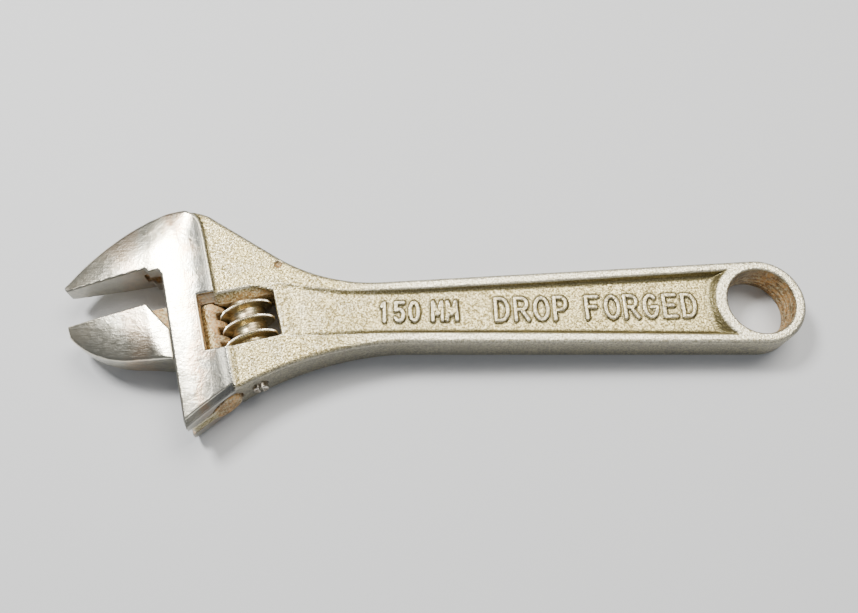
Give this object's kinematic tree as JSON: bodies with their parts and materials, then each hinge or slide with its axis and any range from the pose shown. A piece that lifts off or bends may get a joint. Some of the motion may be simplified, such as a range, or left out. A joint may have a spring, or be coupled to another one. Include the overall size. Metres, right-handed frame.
{
  "type": "adjustable wrench",
  "caption": "Forged adjustable wrench with an angled head, a sliding lower jaw driven by a knurled worm, a panelled handle and a round hang hole.",
  "frame": {"origin": "centre of the hang hole, half way through the handle's thickness", "axes": "+X along the handle from the jaws to the hang hole, +Z along the hang hole's axis, +Y towards the fixed jaw's side"},
  "size_m": [0.1569, 0.0482, 0.0114],
  "materials": {
    "forged_body": "satin chrome plate over a forged skin, polished head, rust in the recesses",
    "jaw_steel": "polished jaw, bare rack shank with rust",
    "knurl_steel": "satin plate with bright knurled crests",
    "pin_steel": "turned steel",
    "spring_steel": "dark spring wire"
  },
  "bodies": {
    "body": {"wrench_body": "forged_body", "knurl_pin": "pin_steel"},
    "jaw": {"movable_jaw": "jaw_steel"},
    "knurl": {"knurl": "knurl_steel", "knurl_spring": "spring_steel"}
  },
  "joints": [
    {"name": "jaw_slide", "type": "slide", "parent": "body", "child": "jaw", "axis": [0.2164, -0.9763, 0], "range_m": [-0.00795, 0.01105]},
    {"name": "knurl_spin", "type": "hinge", "parent": "body", "child": "knurl", "pos_m": [-0.10834, -0.00103, 0], "axis": [-0.2164, 0.9763, 0], "range_deg": [-845, 1175]}
  ],
  "couplings": [
    {"joint": "knurl_spin", "follows": "jaw_slide", "rad_per_m": 1848}
  ]
}
